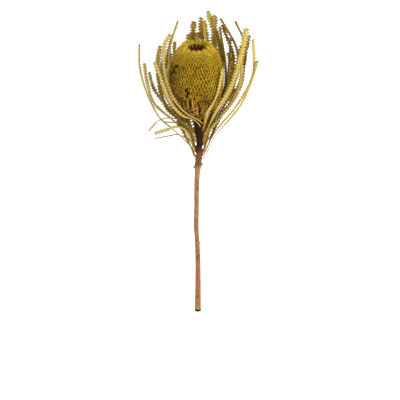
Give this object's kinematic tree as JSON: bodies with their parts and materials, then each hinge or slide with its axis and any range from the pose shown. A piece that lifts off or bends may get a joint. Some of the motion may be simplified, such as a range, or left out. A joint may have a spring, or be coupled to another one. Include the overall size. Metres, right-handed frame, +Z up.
{
  "type": "dried banksia flower",
  "caption": "Dried banksia flower lying on its side: a woody stem, an egg-shaped head of packed florets, and a cup of narrow saw-edged leaves round it.",
  "frame": {"origin": "centre of the bounding box's bottom face, on the surface the flower lies on", "axes": "+Y along the stem toward the top of the head, +Z up from the surface, +X to the right seen from above with the head away"},
  "size_m": [0.142, 0.3692, 0.0966],
  "materials": {
    "stem": "dry reddish-brown bark, dark and rough above the node",
    "head": "dry golden-olive florets over a dark core",
    "leaf": "dry straw-coloured leaf"
  },
  "bodies": {
    "root": {"flower_head": "head", "leaf_back_01": "leaf", "leaf_back_02": "leaf", "leaf_back_03": "leaf", "leaf_back_04": "leaf", "leaf_back_05": "leaf", "leaf_back_06": "leaf", "leaf_back_07": "leaf", "leaf_left_01": "leaf", "leaf_left_02": "leaf", "leaf_left_03": "leaf", "leaf_left_04": "leaf", "leaf_left_05": "leaf", "leaf_left_06": "leaf", "leaf_left_07": "leaf", "leaf_left_08": "leaf", "leaf_left_09": "leaf", "leaf_left_10": "leaf", "leaf_low_01": "leaf", "leaf_low_02": "leaf", "leaf_low_03": "leaf", "leaf_low_04": "leaf", "leaf_right_01": "leaf", "leaf_right_02": "leaf", "leaf_right_03": "leaf", "leaf_right_04": "leaf", "leaf_right_05": "leaf", "leaf_right_06": "leaf", "leaf_right_07": "leaf", "leaf_right_08": "leaf", "leaf_right_09": "leaf", "leaf_right_10": "leaf", "leaf_right_11": "leaf", "leaf_right_12": "leaf", "leaf_right_13": "leaf", "leaf_under_01": "leaf", "leaf_under_02": "leaf", "leaf_under_03": "leaf", "leaf_under_04": "leaf", "leaf_under_05": "leaf", "leaf_under_06": "leaf", "leaf_under_07": "leaf", "stem": "stem"}
  },
  "joints": []
}
